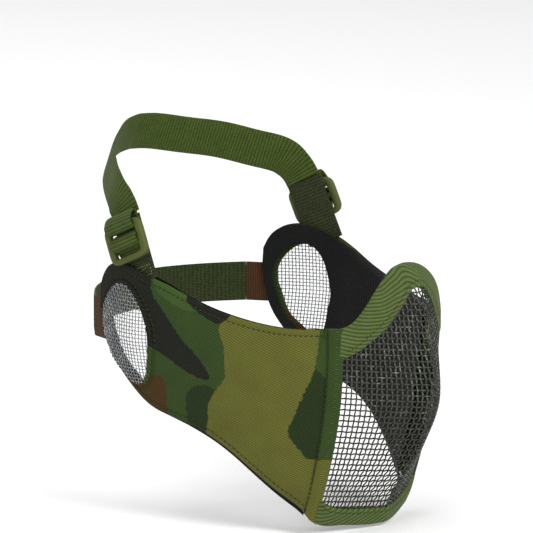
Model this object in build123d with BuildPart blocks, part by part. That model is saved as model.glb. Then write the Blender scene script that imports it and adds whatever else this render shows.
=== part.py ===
"""Half face mask in camouflage cloth with a woven steel mouth guard and steel ear guards.

Frame: millimetres, +Z up, the wearer faces -Y, +X is the wearer's left.
The origin is the centre of the head, midway between the ears.
The right side (X < 0) is modelled, and the left side is its mirror image.
"""
from build123d import *
import math
import os

os.makedirs("parts", exist_ok=True)

# ---------------------------------------------------------------- overall sizes
SEAM_X_TOP = 42.0          # half width of the mouth guard at the top of its side seam
SEAM_X_BOTTOM = 40.0       # and at the bottom
SEAM_Y_TOP = -93.0         # how far forward the side seam stands at the top
SEAM_SWEEP = 17.0          # how far the seam runs back on its way down
SEAM_TOP_Z = 9.0           # height of the top of the seam
SEAM_BOTTOM_Z = -88.0      # height of the bottom of the seam
NOSE_TOP_Z = 37.0          # highest point of the nose trim
CHIN_Z = -95.0             # lowest point of the chin trim
JAW_NARROWING = 10.0       # how much narrower each side is at the jaw than at the cheekbone
JAW_Z = -70.0              # the height at which that narrowing is reached

# ---------------------------------------------------------------- cloth and wire
COVER = 1.0                # printed outer cloth
LINING = 0.8               # black inner cloth
FOAM_CHEEK = 4.0           # padding over the cheek
LAYER_GAP = 0.15           # between neighbouring layers of one panel
MESH = 1.4                 # woven wire, two wires thick
TAPE = 1.1                 # ribbed binding tape
TAPE_WIDTH = 14.0          # how far the tape covers the mesh
TAPE_GAP = 0.15            # tape to mesh
FOLD_GAP = 1.3             # open gap along each side seam, where the cloth bends
HEM_WIDTH = 6.0            # folded hem beside the seam
HEM_RISE = 0.8             # height of the hem above the cover
EAR_DOME = 4.0             # bulge of the ear guard
EAR_WIRE = 0.9             # thickness of the ear guard
EAR_SEAT = 0.25            # ear guard to the cloth around it
EAR_ROOM = 3.2             # hollow between cover and lining where straps are sewn in

# ---------------------------------------------------------------- straps and slides
WEBBING = 20.0             # width of the webbing
WEBBING_T = 1.2            # thickness of the webbing
SLIDE_T = 3.4              # thickness of the slide
BAR = 3.2                  # width of each of the slide's three bars
SLOT = 5.2                 # width of each of its two slots
RAIL = 3.4                 # width of each side rail
WEB_CLEAR = 0.3            # webbing to what it slides on
WEB_LIFT = 1.6             # slide's back to the webbing behind it
SLIDE_STAND = 18.3         # slide's centre above the point where the webbing enters the panel
SEWN = 3.3                 # webbing below that point, sewn between cover and lining
TAIL = 1.5                 # webbing past the slide's top edge
WEB_ENTRY = Vector(-74.8, 1.5, 30.0)       # where the webbing enters the ear panel
WEB_OUT = Vector(-0.988, 0.156, 0.0)       # the way the webbing's face looks
WEB_DOWN = Vector(-0.061, -0.386, -0.9205)  # along the webbing, towards the mask
BAND = 20.0                # width of the neck band
BAND_T = 1.4               # thickness of the neck band

# ---------------------------------------------------------------- shape of one side
# The way from the seam round the cheek to the back of the ear panel, seen from above.
CHEEK_PLAN = [(-42, -93), (-50, -82), (-60, -64), (-67, -47), (-72, -30), (-76, -13),
              (-77.7, 0), (-75, 13), (-71, 26), (-66, 38), (-60, 50)]
LEVELS = [46, 26, 8, -10, -30, -50, -70, -100]
EAR_START = 5              # index in CHEEK_PLAN where the padding has run out
PAD_END_Y = -16.0          # the padding's rear edge
EAR_CENTRE = (12.0, 0.0)   # middle of the ear guard, in Y and Z


def seam(z):
    """Where the side seam stands at height z: x and y."""
    down = (SEAM_TOP_Z - z) / (SEAM_TOP_Z - SEAM_BOTTOM_Z)
    x = -SEAM_X_TOP + (SEAM_X_TOP - SEAM_X_BOTTOM) * down
    return x, SEAM_Y_TOP + SEAM_SWEEP * down * abs(down)


def side_plan(z):
    """The cheek's way at height z: it starts on the seam and narrows towards the jaw."""
    seam_x, seam_y = seam(z)
    narrow = JAW_NARROWING * max(0.0, z / JAW_Z)
    points = []
    for index, (x, y) in enumerate(CHEEK_PLAN):
        along = index / (len(CHEEK_PLAN) - 1)
        back = min(1.0, 2.2 * along)
        near_seam = 1 - min(1.0, 2.0 * along)
        moved_x = x + narrow * back + (seam_x - CHEEK_PLAN[0][0]) * near_seam
        moved_y = y + (seam_y - CHEEK_PLAN[0][1]) * near_seam
        points.append((moved_x, moved_y))
    return points


def normals(points):
    """Unit vectors that point away from the head, square to the plan's way."""
    found = []
    last = len(points) - 1
    for index in range(len(points)):
        x0, y0 = points[max(0, index - 1)]
        x1, y1 = points[min(last, index + 1)]
        length = math.hypot(x1 - x0, y1 - y0)
        found.append((-(y1 - y0) / length, (x1 - x0) / length))
    return found


def moved_out(points, distances):
    """The plan's points moved outwards, each by its own distance."""
    pairs = zip(points, normals(points), distances)
    return [(x + nx * out, y + ny * out) for (x, y), (nx, ny), out in pairs]


def band(levels, plan, outer, inner):
    """Lofts a curved wall between two distances from the plan's way."""
    with BuildPart() as wall:
        for level in levels:
            points = plan(level)
            with BuildSketch(Plane.XY.offset(level)):
                with BuildLine():
                    near = Spline(*moved_out(points, outer))
                    far = Spline(*moved_out(points, inner))
                    Line(near @ 0, far @ 0)
                    Line(near @ 1, far @ 1)
                make_face()
        loft()
    return wall.part


def side_outline(inset=0.0):
    """The side panel's edge seen from the right, as a face in the YZ plane."""
    low_y = seam(SEAM_BOTTOM_Z)[1] + 2
    ahead = SEAM_Y_TOP - 10
    edge = [(ahead, 8.6), (-84, 8.8), (-70, 9.4), (-52, 13), (-34, 18.6), (-22, 24), (-10, 29),
            (4, 33), (14, 35), (24, 33.5), (32, 27), (34.5, 17), (31, -4), (22, -17), (8, -29),
            (-5, -36.5), (-22, -42.5), (-42, -54), (-60, -71), (-70, -81), (low_y, SEAM_BOTTOM_Z)]
    if inset:
        edge = moved_out(edge, [-inset] * len(edge))
    with BuildSketch(Plane.YZ) as outline:
        with BuildLine():
            round_edge = Spline(*edge)
            low_ahead = (low_y - 30, SEAM_BOTTOM_Z + inset)
            Polyline(round_edge @ 1, low_ahead, (ahead - 1, 0), round_edge @ 0)
        make_face()
    return outline.sketch


def behind_seam(distance):
    """Everything that lies at least this far behind the side seam, as a face in the YZ plane."""
    heights = (-110, SEAM_BOTTOM_Z, -60, -30, -10, SEAM_TOP_Z, 20, 60)
    with BuildSketch(Plane.YZ) as rear_part:
        with BuildLine():
            edge = Spline(*[(seam(z)[1] + distance, z) for z in heights])
            Polyline(edge @ 1, (200, 60), (200, -110), edge @ 0)
        make_face()
    return rear_part.sketch


def ear_outline(grow):
    """The ear guard's rounded leaf shape in the YZ plane, grown or shrunk."""
    leaf = [(13, 25), (4.6, 21), (-2, 10), (-4.3, -1), (-2.6, -13), (4, -23.5), (12, -20),
            (20, -13.5), (26, -2), (28.5, 9.7), (22.5, 20.5)]
    centre_y, centre_z = EAR_CENTRE
    grown = []
    for y, z in leaf:
        share = 1 + grow / math.hypot(y - centre_y, z - centre_z)
        grown.append((centre_y + (y - centre_y) * share, centre_z + (z - centre_z) * share))
    with BuildSketch(Plane.YZ) as outline:
        with BuildLine():
            Spline(*grown, periodic=True)
        make_face()
    return outline.sketch


def prism(sketch, mode=Mode.ADD):
    """Runs an outline in the YZ plane out through the right side."""
    return extrude(sketch, amount=120, dir=(-1, 0, 0), mode=mode)


def ramp(cheek, ear):
    """A distance that is one value on the cheek and another on the ear panel."""
    return [cheek if i < EAR_START - 1 else ear for i in range(len(CHEEK_PLAN))]


cloth_front = 0.6 * FOLD_GAP
lining_out = ramp(-(COVER + FOAM_CHEEK + 2 * LAYER_GAP), -(COVER + EAR_ROOM))
lining_in = [out - LINING for out in lining_out]
foam_out = ramp(-(COVER + LAYER_GAP), -(COVER + LAYER_GAP))
foam_in = [out + LAYER_GAP for out in lining_out]

cover_wall = band(LEVELS, side_plan, ramp(0, 0), ramp(-COVER, -COVER))
foam_wall = band(LEVELS, side_plan, foam_out, foam_in)
lining_wall = band(LEVELS, side_plan, lining_out, lining_in)
hem_wall = band(LEVELS, side_plan, ramp(HEM_RISE + LAYER_GAP, HEM_RISE + LAYER_GAP), ramp(LAYER_GAP, LAYER_GAP))

# ---------------------------------------------------------------- side panels
panel = side_outline()
padded_panel = side_outline(inset=3.0)
ear_hole = ear_outline(0)
cloth_edge = behind_seam(cloth_front)
hem_edge = behind_seam(cloth_front + HEM_WIDTH)
with BuildSketch(Plane.YZ) as ear_end:
    with Locations((PAD_END_Y + 60, 0)):
        Rectangle(120, 200)

with BuildPart() as right_cheek_cover:
    add(cover_wall)
    prism(panel, Mode.INTERSECT)
    prism(cloth_edge, Mode.INTERSECT)
    prism(ear_hole, Mode.SUBTRACT)

with BuildPart() as right_cheek_lining:
    add(lining_wall)
    prism(panel, Mode.INTERSECT)
    prism(hem_edge, Mode.INTERSECT)
    prism(ear_hole, Mode.SUBTRACT)

# The padding stops short of the panel's edges, the seam and the ear.
with BuildPart() as right_cheek_foam:
    add(foam_wall)
    prism(padded_panel, Mode.INTERSECT)
    prism(hem_edge, Mode.INTERSECT)
    prism(ear_end.sketch, Mode.SUBTRACT)

# A folded hem runs down the panel's front edge, beside the seam.
with BuildPart() as right_seam_hem:
    add(hem_wall)
    prism(panel, Mode.INTERSECT)
    prism(cloth_edge, Mode.INTERSECT)
    prism(hem_edge, Mode.SUBTRACT)


def ear_plan(z):
    """The ear panel's way with the guard's bulge added, for the ear guard's own wall."""
    return [p for p in side_plan(z)][4:10]


def ear_bulge(points, z):
    """How far the guard stands out of the panel: a flat-topped dome over its middle."""
    distances = []
    for x, y in points:
        share = ((y - 12) / 24) ** 2 + (z / 34) ** 2
        distances.append(EAR_DOME * max(0.0, 1 - share) - COVER * 0.5)
    return distances


ear_guard_edge = ear_outline(-EAR_SEAT)
with BuildPart() as right_ear_mesh:
    for level in (34, 22, 11, 0, -11, -22, -34):
        way = ear_plan(level)
        bulge = ear_bulge(way, level)
        with BuildSketch(Plane.XY.offset(level)):
            with BuildLine():
                near_face = Spline(*moved_out(way, bulge))
                far_face = Spline(*moved_out(way, [out - EAR_WIRE for out in bulge]))
                Line(near_face @ 0, far_face @ 0)
                Line(near_face @ 1, far_face @ 1)
            make_face()
    loft()
    prism(ear_guard_edge, Mode.INTERSECT)

# ---------------------------------------------------------------- mouth guard and its tape
# The guard is pressed to a blunt keel: its ridge, from the nose down to the chin.
RIDGE = [(NOSE_TOP_Z, -101), (23, -110), (10, -115), (-10, -118.8), (-30, -122), (-50, -114),
         (-65, -105), (-80, -94.5), (CHIN_Z, -90)]
KEEL_SHARE = 0.55          # how much of the section is straight, the rest being round


def ridge_y(z):
    """How far forward the keel stands at height z, by straight lines between its points."""
    rows = sorted(RIDGE)
    for (z0, y0), (z1, y1) in zip(rows, rows[1:]):
        if z <= z1:
            return y0 + (y1 - y0) * (z - z0) / (z1 - z0)
    return rows[-1][1]


def guard_plan(z):
    """Half of the guard's section at height z, from the keel out to the right seam."""
    seam_x, seam_y = seam(z)
    seam_x += FOLD_GAP
    points = []
    for share in (0, 0.12, 0.3, 0.5, 0.75, 1):
        bend = KEEL_SHARE * share + (1 - KEEL_SHARE) * share ** 2
        points.append((seam_x * share, ridge_y(z) + (seam_y - ridge_y(z)) * bend))
    return points


def guard_levels():
    """Heights of the guard's sections: its ridge points, and one beyond each end."""
    return [NOSE_TOP_Z + 3, NOSE_TOP_Z, 23, 10, -10, -30, -50, -65, -80, CHIN_Z, CHIN_Z - 4]


def guard_section(points, outer, inner):
    """Both halves of the guard's section, as outer and inner points from seam to seam."""
    half = [(0.0, points[0][1])] + points[1:]
    whole = [(-x, y) for x, y in reversed(half[1:])] + half
    return moved_out(whole[::-1], [-outer] * len(whole)), moved_out(whole[::-1], [-inner] * len(whole))


def guard_wall(outer, inner):
    """Lofts the guard's wall between two distances from its middle surface."""
    with BuildPart() as wall:
        for level in guard_levels():
            front, back = guard_section(guard_plan(level), outer, inner)
            with BuildSketch(Plane.XY.offset(level)):
                with BuildLine():
                    near = Spline(*front)
                    far = Spline(*back)
                    Line(near @ 0, far @ 0)
                    Line(near @ 1, far @ 1)
                make_face()
        loft(ruled=True)
    return wall.part


def guard_outline(top, bottom):
    """The guard's edge seen from the front: top and bottom edges moved in by their distances."""
    with BuildSketch(Plane.XZ) as outline:
        with BuildLine():
            side_top = SEAM_TOP_Z - top
            side_low = SEAM_BOTTOM_Z + bottom
            nose = NOSE_TOP_Z - top
            wing = SEAM_X_TOP + 6
            Line((-wing, side_low), (-wing, side_top))
            crest = Spline((-wing, side_top), (-SEAM_X_TOP, side_top), (-26, side_top + 7.5),
                           (-13, nose - 4.5), (0, nose), (13, nose - 4.5), (26, side_top + 7.5),
                           (SEAM_X_TOP, side_top), (wing, side_top))
            Line(crest @ 1, (wing, side_low))
            chin = CHIN_Z + bottom
            Spline((wing, side_low), (SEAM_X_BOTTOM, side_low), (22, chin + 1), (0, chin),
                   (-22, chin + 1), (-SEAM_X_BOTTOM, side_low), (-wing, side_low))
        make_face()
    return outline.sketch


half_mesh = MESH / 2
tape_out = half_mesh + TAPE_GAP + TAPE
mesh_wall = guard_wall(half_mesh, -half_mesh)
tape_wall = guard_wall(tape_out, -tape_out)
slot_wall = guard_wall(half_mesh + TAPE_GAP, -half_mesh - TAPE_GAP)

mesh_edge = guard_outline(TAPE + TAPE_GAP, TAPE + TAPE_GAP)
tape_edge = guard_outline(0, 0)
bare_mesh = guard_outline(TAPE_WIDTH, TAPE_WIDTH - 2)
slot_edge = guard_outline(TAPE, TAPE)

with BuildPart() as front_mesh:
    add(mesh_wall)
    extrude(mesh_edge, amount=200, mode=Mode.INTERSECT)

# The tape is folded over the mesh's top and bottom edges, outside and inside.
with BuildPart() as taped_edges:
    add(tape_wall)
    extrude(tape_edge, amount=200, mode=Mode.INTERSECT)
    extrude(bare_mesh, amount=200, mode=Mode.SUBTRACT)
with BuildPart() as mesh_slot:
    add(slot_wall)
    extrude(slot_edge, amount=200, mode=Mode.INTERSECT)

with BuildPart() as nose_trim:
    add(taped_edges.part)
    split(bisect_by=Plane.XY.offset(-40), keep=Keep.TOP)
    add(mesh_slot.part, mode=Mode.SUBTRACT)

with BuildPart() as chin_trim:
    add(taped_edges.part)
    split(bisect_by=Plane.XY.offset(-40), keep=Keep.BOTTOM)
    add(mesh_slot.part, mode=Mode.SUBTRACT)

# ---------------------------------------------------------------- slide and webbing
web_across = WEB_OUT.cross(WEB_DOWN)
slide_lift = WEBBING_T / 2 + WEB_LIFT + SLIDE_T / 2
slide_centre = WEB_ENTRY - WEB_DOWN * SLIDE_STAND + WEB_OUT * slide_lift
slide_plane = Plane(origin=slide_centre, x_dir=web_across, z_dir=WEB_OUT)
slide_height = 3 * BAR + 2 * SLOT
slide_width = WEBBING + 2 * RAIL + 2 * WEB_CLEAR

# In the slide's own plane, x runs along the bars and -y runs towards the mask.
with BuildPart() as right_slide:
    with BuildSketch(slide_plane.offset(-SLIDE_T / 2)):
        RectangleRounded(slide_width, slide_height, 2.5)
        with Locations((0, (BAR + SLOT) / 2), (0, -(BAR + SLOT) / 2)):
            Rectangle(WEBBING + 2 * WEB_CLEAR, SLOT, mode=Mode.SUBTRACT)
    extrude(amount=SLIDE_T)
    chamfer(right_slide.faces().sort_by(Axis((0, 0, 0), WEB_OUT))[-1].outer_wire().edges(), 0.8)

web_back = -SLIDE_T / 2 - WEB_LIFT - WEBBING_T
with BuildPart() as right_anchor_webbing:
    with BuildSketch(slide_plane.offset(web_back)):
        low_end = -SLIDE_STAND - SEWN
        high_end = slide_height / 2 + TAIL
        with Locations((0, (low_end + high_end) / 2)):
            Rectangle(WEBBING, high_end - low_end)
    extrude(amount=WEBBING_T)


def arch(centre, bar, legs_back):
    """Webbing bent over a bar, drawn from the side: an arch whose legs run to the slide's back."""
    inner = bar / 2 + WEB_CLEAR
    top = SLIDE_T / 2 + WEB_CLEAR
    side_plane = Plane(origin=slide_plane.origin - slide_plane.x_dir * (WEBBING / 2),
                       x_dir=slide_plane.y_dir, z_dir=slide_plane.x_dir)
    with BuildSketch(side_plane) as profile:
        with Locations((centre, (top + WEBBING_T + legs_back) / 2)):
            Rectangle(2 * (inner + WEBBING_T), top + WEBBING_T - legs_back)
        with Locations((centre, (top + legs_back) / 2)):
            Rectangle(2 * inner, top - legs_back, mode=Mode.SUBTRACT)
    return profile.sketch


with BuildPart() as right_webbing_bend:
    add(extrude(arch(0, BAR, -SLIDE_T / 2 + 0.1), amount=WEBBING, mode=Mode.PRIVATE))

# The head strap's end is wrapped round the top bar and lies on the slide's outer side.
wrap_centre = BAR + SLOT
with BuildPart() as right_strap_loop:
    side_view = Plane(origin=slide_plane.origin - slide_plane.x_dir * (WEBBING / 2),
                      x_dir=slide_plane.y_dir, z_dir=slide_plane.x_dir)
    wrap_in = math.hypot(BAR / 2, SLIDE_T / 2) + WEB_CLEAR
    with BuildSketch(side_view):
        with Locations((wrap_centre, 0)):
            Circle(wrap_in + WEBBING_T)
            Circle(wrap_in, mode=Mode.SUBTRACT)
    extrude(amount=WEBBING)
    with BuildSketch(side_view):
        with Locations((wrap_centre - 1.6, -SLIDE_T / 2 - WEB_CLEAR - WEBBING_T)):
            Rectangle(16, 2 * WEBBING_T + WEB_CLEAR + 1.2)
    extrude(amount=WEBBING, mode=Mode.SUBTRACT)

# ---------------------------------------------------------------- head strap and neck band
# Both run round the back of the head. Each half is a chain of stations: a centre and the way
# its face looks.
STRAP_BACK = Vector(-0.2, 65.5, 87)
BAND_BACK = Vector(-0.2, 70, 4)


def ribbon(frames, width, thickness):
    """Lofts a flat strap through stations of centre, way along, and outward direction."""
    with BuildPart() as strap:
        for centre, along, outward in frames:
            with BuildSketch(Plane(origin=centre, x_dir=outward.cross(along), z_dir=along)):
                Rectangle(width, thickness)
        loft()
    return strap.part


def strap_frames(stations):
    """Stations of a strap half, with each one's way along taken from its neighbours."""
    frames = []
    last = len(stations) - 1
    for index, (centre, outward) in enumerate(stations):
        along = (stations[min(last, index + 1)][0] - stations[max(0, index - 1)][0]).normalized()
        outward = (outward - along * outward.dot(along)).normalized()
        frames.append((centre, along, outward))
    return frames


strap_start = slide_centre - WEB_DOWN * (slide_height / 2 + 6.0) - WEB_OUT * 1.6
strap_stations = [
    (strap_start, WEB_OUT),
    (Vector(-70, 21.5, 68.5), Vector(-0.9, 0.42, 0.12)),
    (Vector(-61, 32, 73.5), Vector(-0.8, 0.55, 0.2)),
    (Vector(-46, 45.5, 79), Vector(-0.62, 0.73, 0.28)),
    (Vector(-27, 57, 83), Vector(-0.38, 0.86, 0.34)),
    (Vector(-10, 64, 86.3), Vector(-0.14, 0.92, 0.37)),
    (STRAP_BACK, Vector(0, 0.93, 0.37)),
]
with BuildPart() as right_head_strap:
    frames = strap_frames(strap_stations)
    frames[-1] = (STRAP_BACK, Vector(1, 0, 0), Vector(0, 0.93, 0.37))
    add(ribbon(frames, WEBBING, WEBBING_T))

# The neck band's tab is sewn in between the ear panel's cover and lining.
TAB_Z = 4.0
TAB_LENGTH = 12.0
tab_way = Vector(0.385, 0.923, 0)
tab_out = Vector(-0.923, 0.385, 0)
tab_start = Vector(-68.75, 31.4, TAB_Z) - tab_out * (COVER + EAR_ROOM / 2)
with BuildPart() as right_neck_tab:
    tab_ends = [(tab_start, tab_way, tab_out), (tab_start + tab_way * TAB_LENGTH, tab_way, tab_out)]
    add(ribbon(tab_ends, BAND, BAND_T))

band_start = tab_start + tab_way * (TAB_LENGTH + WEB_CLEAR)
band_stations = [
    (band_start, tab_out),
    (Vector(-50, 51.5, TAB_Z), Vector(-0.66, 0.75, 0)),
    (Vector(-35, 61, TAB_Z), Vector(-0.45, 0.89, 0)),
    (Vector(-16, 68, TAB_Z), Vector(-0.2, 0.98, 0)),
    (BAND_BACK, Vector(0, 1, 0)),
]
with BuildPart() as right_neck_band:
    frames = strap_frames(band_stations)
    frames[0] = (band_start, tab_way, tab_out)
    frames[-1] = (BAND_BACK, Vector(1, 0, 0), Vector(0, 1, 0))
    add(ribbon(frames, BAND, BAND_T))

# ---------------------------------------------------------------- write every piece
for piece, label in ((front_mesh, "front_mesh"), (nose_trim, "nose_trim"), (chin_trim, "chin_trim")):
    piece.part.label = label
    export_step(piece.part, f"parts/{label}.step")

sides = {
    "cheek_cover": right_cheek_cover, "cheek_foam": right_cheek_foam,
    "cheek_lining": right_cheek_lining, "seam_hem": right_seam_hem, "ear_mesh": right_ear_mesh,
    "anchor_webbing": right_anchor_webbing, "slide": right_slide,
    "webbing_bend": right_webbing_bend, "strap_loop": right_strap_loop,
    "head_strap": right_head_strap, "neck_tab": right_neck_tab, "neck_band": right_neck_band,
}
for label, piece in sides.items():
    piece.part.label = "right_" + label
    export_step(piece.part, f"parts/right_{label}.step")
    with BuildPart() as left_piece:
        add(mirror(piece.part, about=Plane.YZ, mode=Mode.PRIVATE))
    left_piece.part.label = "left_" + label
    export_step(left_piece.part, f"parts/left_{label}.step")
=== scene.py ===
# %% [markdown]
# # A camouflage half-face mask
# The mask is a folded wire guard for the mouth, with a padded cloth panel on each cheek.
# Each panel carries a small wire guard over the ear, and a strap and a band close round the head.
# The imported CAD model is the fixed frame: it gives every place, and these cells give the looks.

# %% Load the fixed frame
import math

import bpy
import numpy as np
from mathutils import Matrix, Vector


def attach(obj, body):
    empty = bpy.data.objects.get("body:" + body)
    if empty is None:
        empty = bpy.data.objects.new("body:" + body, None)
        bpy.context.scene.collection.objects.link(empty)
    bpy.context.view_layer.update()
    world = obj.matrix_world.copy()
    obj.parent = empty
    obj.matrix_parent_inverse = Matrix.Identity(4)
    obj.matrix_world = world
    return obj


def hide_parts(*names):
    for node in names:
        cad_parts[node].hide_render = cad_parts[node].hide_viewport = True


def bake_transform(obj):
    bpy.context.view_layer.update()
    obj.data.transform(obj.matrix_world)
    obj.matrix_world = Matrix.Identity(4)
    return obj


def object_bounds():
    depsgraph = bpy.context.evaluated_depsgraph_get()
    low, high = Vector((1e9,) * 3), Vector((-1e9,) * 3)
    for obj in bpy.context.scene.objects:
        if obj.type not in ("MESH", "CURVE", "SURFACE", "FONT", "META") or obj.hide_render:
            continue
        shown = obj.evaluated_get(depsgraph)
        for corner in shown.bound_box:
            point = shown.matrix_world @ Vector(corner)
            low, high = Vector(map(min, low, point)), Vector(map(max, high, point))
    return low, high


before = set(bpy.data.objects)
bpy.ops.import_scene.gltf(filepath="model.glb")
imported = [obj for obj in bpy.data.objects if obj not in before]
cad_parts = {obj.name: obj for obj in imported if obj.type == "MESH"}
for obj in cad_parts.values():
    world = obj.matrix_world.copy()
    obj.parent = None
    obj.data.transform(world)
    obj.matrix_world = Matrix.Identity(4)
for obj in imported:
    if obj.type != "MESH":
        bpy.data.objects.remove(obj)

cad_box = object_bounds()
MM = 0.001
SIDES = ("right", "left")

# %% [markdown]
# ## The camera first
# The camera looks at the wearer's right cheek from a little in front and a little above.
# A long lens far away keeps the width of the guard and the cheek in proportion.
# It could be an orthographic camera, but a long lens keeps a trace of real perspective.

# %% Camera
AIM = Vector((-32.9, -42.8, 33.6)) * MM
CAMERA_WAY = Vector((-0.787, -0.593, 0.1736))  # from the mask to the camera
CAMERA_FAR = 2.5  # metres
camera_data = bpy.data.cameras.new("camera")
camera_data.lens = 344.6  # millimetres, on a sensor 36 mm wide
camera_data.sensor_width = 36
camera = bpy.data.objects.new("camera", camera_data)
camera.location = AIM + CAMERA_FAR * CAMERA_WAY
camera.rotation_euler = (AIM - camera.location).to_track_quat("-Z", "Y").to_euler()
bpy.context.scene.collection.objects.link(camera)
bpy.context.scene.camera = camera
print("camera at", tuple(round(c, 3) for c in camera.location))

# %% [markdown]
# ## Small tools for surfaces
# Every cloth piece lies on one of two smooth surfaces: the side of the face and the front guard.
# A natural cubic spline through a few measured stations gives each surface without corners.
# Sculpting would also work, but a formula can be followed by several layers at once.

# %% Spline, unit vectors and the mirror
def spline(knots, values):
    """Natural cubic spline: with h = knot spacing and m = second derivatives from the tridiagonal
    system h0 m0 + 2(h0+h1) m1 + h1 m2 = 6 (slope1 - slope0), returns the piecewise cubic."""
    k, v = np.asarray(knots, float), np.asarray(values, float)
    h, last = np.diff(k), len(k) - 1
    slope = np.diff(v) / h
    system, right = np.eye(last + 1), np.zeros(last + 1)
    i = np.arange(1, last)
    system[i, i - 1], system[i, i], system[i, i + 1] = h[:-1], 2 * (h[:-1] + h[1:]), h[1:]
    right[1:-1] = 6 * np.diff(slope)
    m = np.linalg.solve(system, right)

    def at(t):
        t = np.asarray(t, float)
        j = np.clip(np.searchsorted(k, t, side="right") - 1, 0, last - 1)
        d = t - k[j]
        return (v[j] + d * (slope[j] - h[j] * (2 * m[j] + m[j + 1]) / 6)
                + d * d * m[j] / 2 + d ** 3 * (m[j + 1] - m[j]) / (6 * h[j]))
    return at


def unit(v):
    """v / |v|"""
    return v / np.maximum(np.linalg.norm(v, axis=-1, keepdims=True), 1e-12)


def handed(points, side):
    """The right-hand piece as it is, or mirrored in x for the left."""
    return points if side == "right" else points * np.array([-1.0, 1.0, 1.0])


def step(t, low, high):
    """Smooth step: 3 s^2 - 2 s^3 with s = (t - low) / (high - low), kept in 0..1."""
    s = np.clip((t - low) / (high - low), 0, 1)
    return s * s * (3 - 2 * s)


print("spline check", float(spline([0, 1, 2], [0, 1, 0])(1.0)))

# %% [markdown]
# ## The two surfaces
# The side surface runs from the seam beside the mouth, over the cheekbone, to behind the ear.
# The guard surface is folded along a ridge down the middle, like the keel of a boat.
# Their stations are the CAD part's own, in millimetres.

# %% Side surface
PLAN_X = [-42, -50, -60, -67, -72, -76, -77.7, -75, -71, -66, -60]
PLAN_Y = [-93, -82, -64, -47, -30, -13, 0, 13, 26, 38, 50]
plan_x = spline(PLAN_Y, PLAN_X)
SEAM_X, SEAM_Y, SEAM_Z = -42, -93, 9  # the seam's upper end
SEAM_TALL, SEAM_LEAN, SEAM_BOW = 97, 2, 17  # its height, and how far its foot goes in and back
CHEEKBONE_Y = -13  # the plan behind this doesn't move with the seam
JAW_IN, JAW_DOWN = 10, 70  # the cheek comes in by JAW_IN at JAW_DOWN below the ear


def seam_at(z):
    """With d = (9 - z)/97: x = -42 + 2d, y = -93 + 17 d|d|."""
    d = (SEAM_Z - np.asarray(z, float)) / SEAM_TALL
    return SEAM_X + SEAM_LEAN * d, SEAM_Y + SEAM_BOW * d * np.abs(d)


def side_base(y, z):
    """x over (y, z): the plan's spline, slid back with the seam and narrowed towards the jaw."""
    seam_x, seam_y = seam_at(z)
    shift, reach = seam_y - SEAM_Y, CHEEKBONE_Y - SEAM_Y
    moved = (y - CHEEKBONE_Y * shift / reach) / (1 - shift / reach)
    back = np.where(y < CHEEKBONE_Y, moved, y)
    i = np.interp(back, PLAN_Y, np.arange(11.0))  # the number of the plan's station
    jaw_share = np.maximum(0, -z / JAW_DOWN) * np.minimum(1, 0.22 * i)
    x = (plan_x(np.maximum(back, -96)) + JAW_IN * jaw_share
         + (seam_x - SEAM_X) * (1 - np.minimum(1, 0.2 * i)))
    return np.stack([x, y + 0 * x, z + 0 * x], -1)


def side_out(y, z):
    """Outward unit normal, -(dP/dy x dP/dz)."""
    dy = side_base(y + 1.5, z) - side_base(y - 1.5, z)
    dz = side_base(y, z + 1.5) - side_base(y, z - 1.5)
    return -unit(np.cross(dy, dz))


def on_side(y, z, out=0.0):
    """P(y, z) + out n"""
    y, z = np.broadcast_arrays(np.asarray(y, float), np.asarray(z, float))
    return side_base(y, z) + np.asarray(out)[..., None] * side_out(y, z)


print("cheekbone", on_side(-30.0, 0.0).round(1))

# %% [markdown]
# ## The folded guard
# The mouth guard is one piece of wire, pressed over a blunt edge, so its halves meet in a ridge.
# The ridge's own line is a spline in height, and each half runs from it to the seam.
# The half is bowed a little by a square term, and a small root keeps the ridge from being sharp.

# %% Guard surface
ridge_y = spline([-95, -80, -65, -50, -30, -10, 10, 23, 30, 33.5, 37],
                 [-90, -94.5, -105, -114, -122, -118.8, -115, -112, -108, -105, -101])


HEM_ROOM = 1.3  # the wire's edge stands this far inside the seam
STRAIGHT, BOWED = 0.72, 0.28  # how much of a half's section is straight, and how much is bowed


def guard_base(x, z):
    """y = ridge + (seam - ridge)(.72 p + .28 p^2), with p = |x|/half blunted as
    sqrt(p^2 + .0012) - .02."""
    seam_x, seam_y = seam_at(z)
    share = np.sqrt((x / (-seam_x - HEM_ROOM)) ** 2 + 0.0012) - 0.02
    ridge = ridge_y(np.clip(z, -97, 38))
    y = ridge + (seam_y - ridge) * (STRAIGHT * share + BOWED * share ** 2)
    return np.stack([x + 0 * z, y, z + 0 * x], -1)


def guard_out(x, z):
    """Outward unit normal, dP/dx x dP/dz."""
    dx = guard_base(x + 0.8, z) - guard_base(x - 0.8, z)
    dz = guard_base(x, z + 1.2) - guard_base(x, z - 1.2)
    return unit(np.cross(dx, dz))


def on_guard(x, z, out=0.0):
    """P(x, z) + out n"""
    x, z = np.broadcast_arrays(np.asarray(x, float), np.asarray(z, float))
    return guard_base(x, z) + np.asarray(out)[..., None] * guard_out(x, z)


print("ridge", on_guard(0.0, -30.0).round(1))

# %% [markdown]
# ## Turning points into meshes
# A cloth piece is a closed shell: an outer face, an inner face, and walls round every edge.
# A wire, cord edge or stitch is a tube with capped ends.
# Solidify could thicken a single sheet, but two worked-out faces can taper at a tucked edge.

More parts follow.
